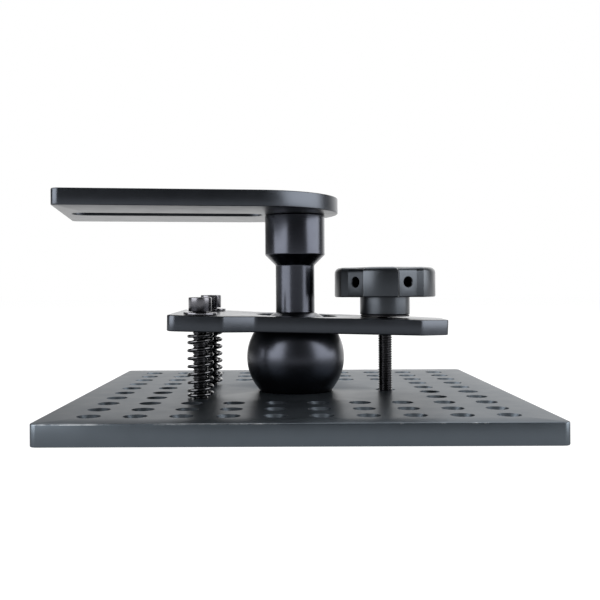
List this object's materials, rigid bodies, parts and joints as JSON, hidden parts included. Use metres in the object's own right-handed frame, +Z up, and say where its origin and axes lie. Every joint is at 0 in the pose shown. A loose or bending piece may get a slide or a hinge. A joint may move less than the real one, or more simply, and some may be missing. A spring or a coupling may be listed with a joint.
{
  "type": "levelling head",
  "caption": "Levelling head: drilled base plate, clamped ball with a slotted offset arm, sprung clamp plate pulled down by a star knob.",
  "frame": {"origin": "centre of the base plate's underside, straight below the ball's centre", "axes": "+Z is up, out of the base plate; +X runs along the clamp plate from the spring screws to the star knob; +Y is away from the pictured side; the offset arm reaches towards -X at rest"},
  "size_m": [0.2958, 0.275, 0.139],
  "materials": {
    "base_anodised": "black anodised, satin, milled",
    "ball_anodised": "black anodised, turned and polished",
    "stem_anodised": "black anodised, fine turned",
    "arm_anodised": "black anodised, satin",
    "clamp_anodised": "black anodised, satin",
    "knob_anodised": "black anodised, satin",
    "screw_oxide": "black oxide, oiled",
    "washer_oxide": "black oxide",
    "stud_oxide": "black oxide, rolled thread",
    "spring_wire": "blackened spring wire, glossy"
  },
  "bodies": {
    "base": {"base_plate": "base_anodised", "pivot_screw_front": "screw_oxide", "pivot_screw_rear": "screw_oxide", "spring_front": "spring_wire", "spring_rear": "spring_wire"},
    "ball": {"ball": "ball_anodised"},
    "stem": {"stem": "stem_anodised"},
    "arm": {"arm_plate": "arm_anodised", "arm_bolt": "screw_oxide"},
    "clamp": {"clamp_plate": "clamp_anodised", "pivot_washer_front": "washer_oxide", "pivot_washer_rear": "washer_oxide"},
    "knob_washer": {"knob_washer": "washer_oxide"},
    "knob": {"knob": "knob_anodised", "knob_stud": "stud_oxide", "knob_grub_screw": "screw_oxide"}
  },
  "joints": [
    {"name": "ball_tilt_x", "type": "hinge", "parent": "base", "child": "ball", "pos_m": [0, 0, 0.0343], "axis": [1, 0, 0], "range_deg": [-15, 15]},
    {"name": "ball_tilt_y", "type": "hinge", "parent": "ball", "child": "stem", "pos_m": [0, 0, 0.0343], "axis": [0, 1, 0], "range_deg": [-15, 9]},
    {"name": "ball_pan", "type": "hinge", "parent": "stem", "child": "arm", "pos_m": [0, 0, 0.129], "axis": [0, 0, 1], "continuous": true},
    {"name": "knob_rise", "type": "slide", "parent": "base", "child": "knob_washer", "axis": [0, 0, 1], "range_m": [0, 0.0032]},
    {"name": "knob_turn", "type": "hinge", "parent": "knob_washer", "child": "knob", "pos_m": [0.06, 0, 0.084], "axis": [0, 0, 1], "range_deg": [0, 720]},
    {"name": "clamp_lift", "type": "hinge", "parent": "base", "child": "clamp", "pos_m": [-0.06, 0, 0.05912], "axis": [0, -1, 0], "range_deg": [0, 1.52]}
  ],
  "couplings": [
    {"joint": "knob_rise", "follows": "knob_turn", "m_per_rad": 0.00025266},
    {"joint": "clamp_lift", "follows": "knob_turn", "ratio": 0.0021055}
  ]
}
